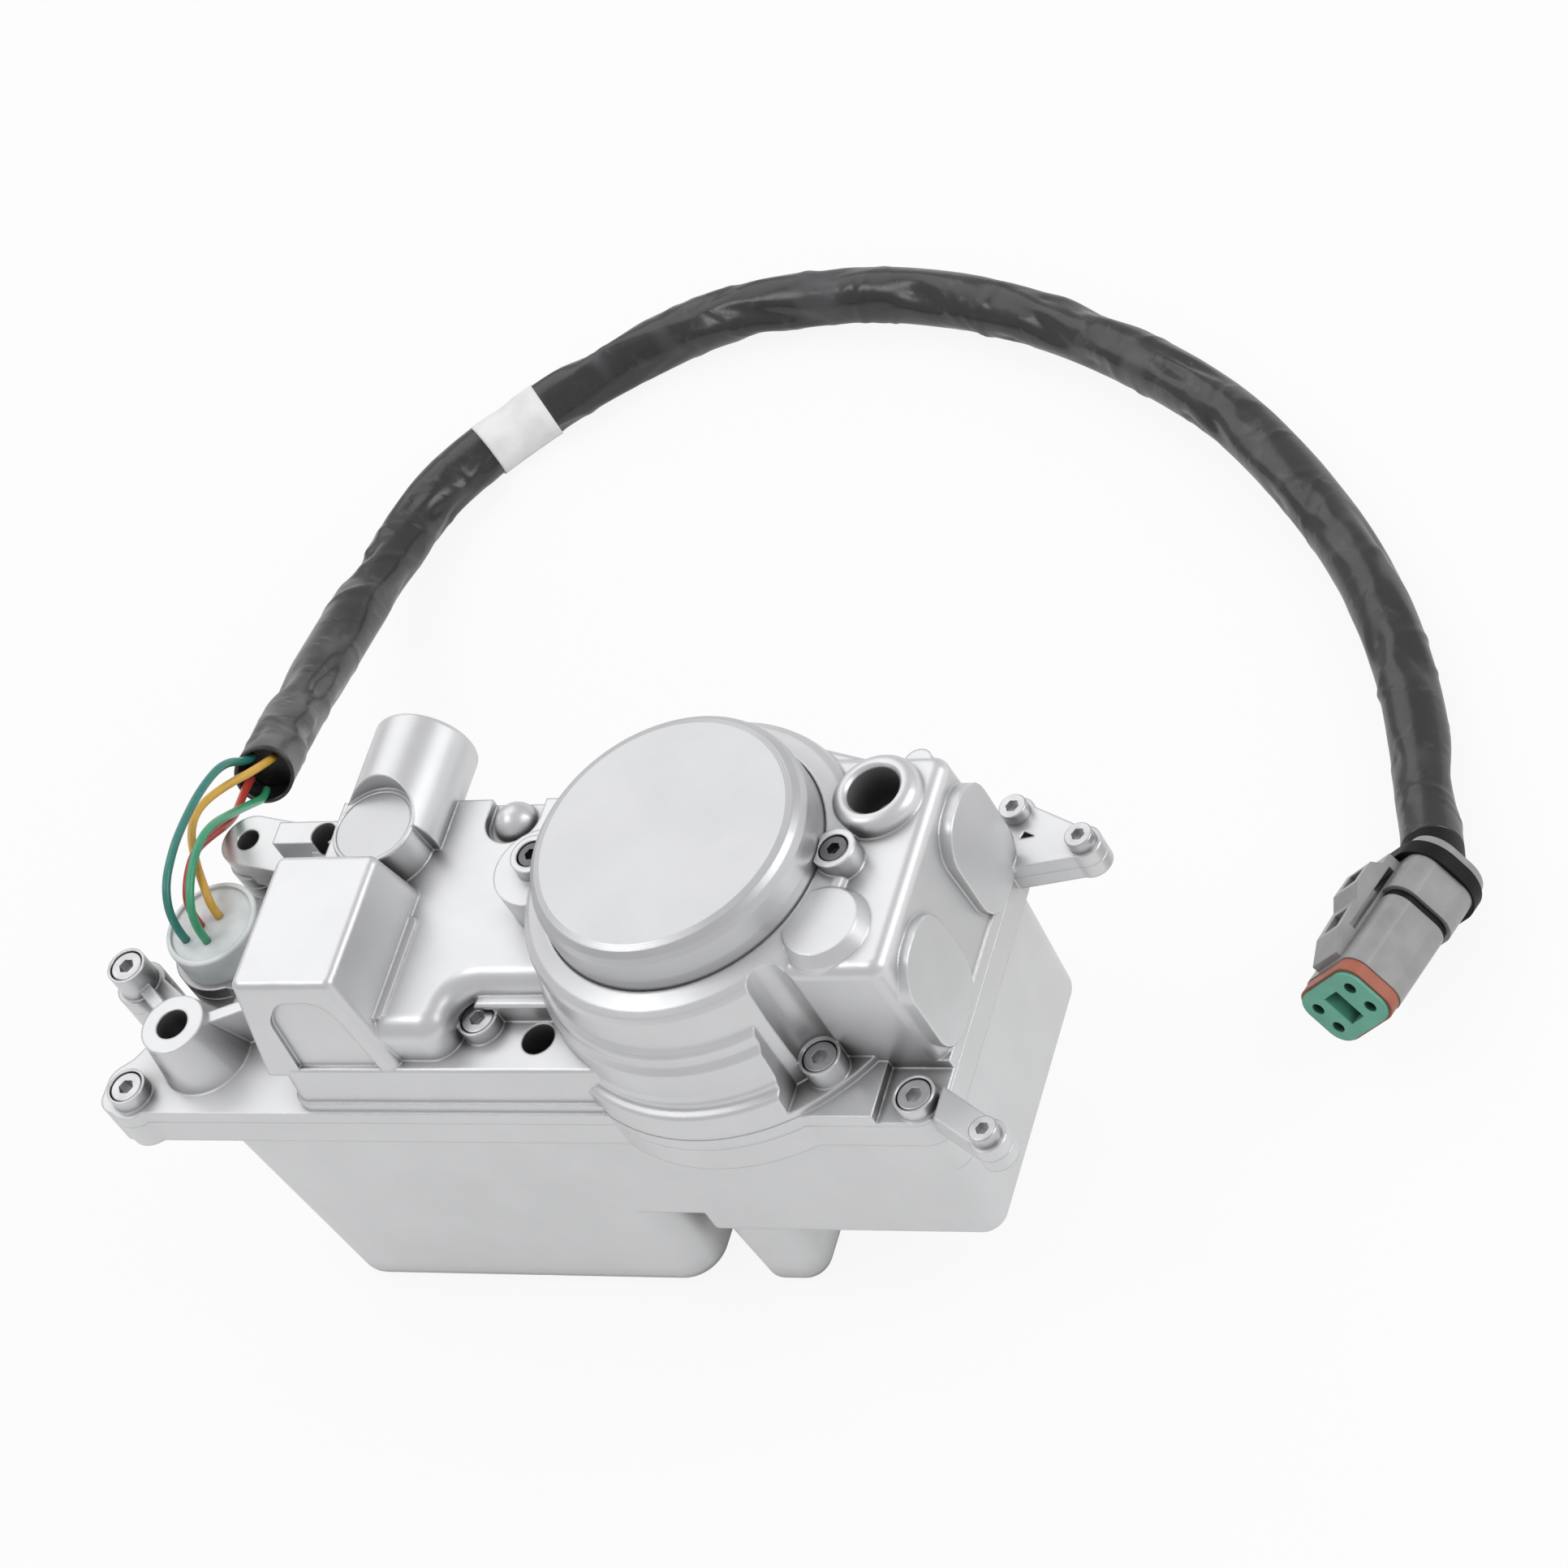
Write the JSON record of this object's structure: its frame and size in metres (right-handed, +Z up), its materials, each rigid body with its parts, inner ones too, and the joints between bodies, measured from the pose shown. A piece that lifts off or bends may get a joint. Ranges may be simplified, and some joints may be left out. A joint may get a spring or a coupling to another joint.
{
  "type": "turbo actuator",
  "caption": "Electronic turbocharger actuator with a cast housing, round motor cap, reduction gears, a short driving pinion and a wired pigtail with a sealed connector.",
  "frame": {"origin": "on the resting plane, below the middle of the housing's length and width, the pigtail left out", "axes": "+X along the long front edge towards the motor end, +Y towards the coolant stub, +Z up along the motor axis"},
  "size_m": [0.3538, 0.3269, 0.128],
  "materials": {
    "cast_aluminium": "bright die-cast skin",
    "turned_aluminium": "fine turned",
    "steel": "bright",
    "dark_steel": "black oxide",
    "lamination": "stacked sheet",
    "copper": "enamelled wire",
    "magnet": "ground",
    "black_rubber": "smooth",
    "red_seal": "silicone",
    "potting": "potted",
    "grey_plastic": "moulded",
    "green_plastic": "moulded",
    "black_tape": "satin tape",
    "white_tape": "bare tape",
    "board": "solder mask",
    "black_plastic": "moulded",
    "can": "drawn can",
    "teal_wire": "insulation",
    "green_wire": "insulation",
    "amber_wire": "insulation",
    "red_wire": "insulation"
  },
  "bodies": {
    "housing": {"lower_housing": "cast_aluminium", "upper_housing": "cast_aluminium", "housing_seal": "black_rubber", "motor_cover": "turned_aluminium", "cover_seal": "black_rubber", "motor_cover_screws": "dark_steel", "housing_screws": "steel", "channel_plug": "turned_aluminium", "motor_stator": "lamination", "motor_windings": "copper", "motor_end_plate": "turned_aluminium", "end_plate_screws": "steel", "rotor_bearing_lower": "steel", "rotor_bearing_upper": "steel", "intermediate_pin": "steel", "output_bearing_lower": "steel", "output_bearing_upper": "steel", "shaft_seal": "black_rubber", "bearing_bridge": "turned_aluminium", "bridge_screws": "steel", "circuit_board": "board", "board_screws": "steel", "capacitors": "can", "choke": "black_plastic", "power_chips": "black_plastic", "wire_grommet": "potting", "harness_sleeve": "black_tape", "label_band": "white_tape", "connector_shell": "grey_plastic", "connector_boot": "black_rubber", "connector_seal": "red_seal", "wedge_lock": "green_plastic", "contact_sockets": "steel", "wire_teal": "teal_wire", "wire_green": "green_wire", "wire_amber": "amber_wire", "wire_red": "red_wire"},
    "rotor": {"rotor_shaft": "steel", "rotor_core": "lamination", "rotor_magnets": "magnet"},
    "reduction": {"reduction_gear": "steel"},
    "output": {"output_gear": "steel", "output_shaft": "steel", "position_magnet": "magnet"}
  },
  "joints": [
    {"name": "output_turn", "type": "hinge", "parent": "housing", "child": "output", "pos_m": [0.07046, -0.00705, 0], "axis": [0, 0, 1], "range_deg": [0, 65]},
    {"name": "reduction_turn", "type": "hinge", "parent": "housing", "child": "reduction", "pos_m": [0.04359, -0.02039, 0], "axis": [0, 0, 1], "range_deg": [-195, 0]},
    {"name": "rotor_turn", "type": "hinge", "parent": "housing", "child": "rotor", "pos_m": [0.0486, 0, 0], "axis": [0, 0, 1], "range_deg": [0, 780]}
  ],
  "couplings": [
    {"joint": "reduction_turn", "follows": "output_turn", "ratio": -3},
    {"joint": "rotor_turn", "follows": "output_turn", "ratio": 12}
  ]
}
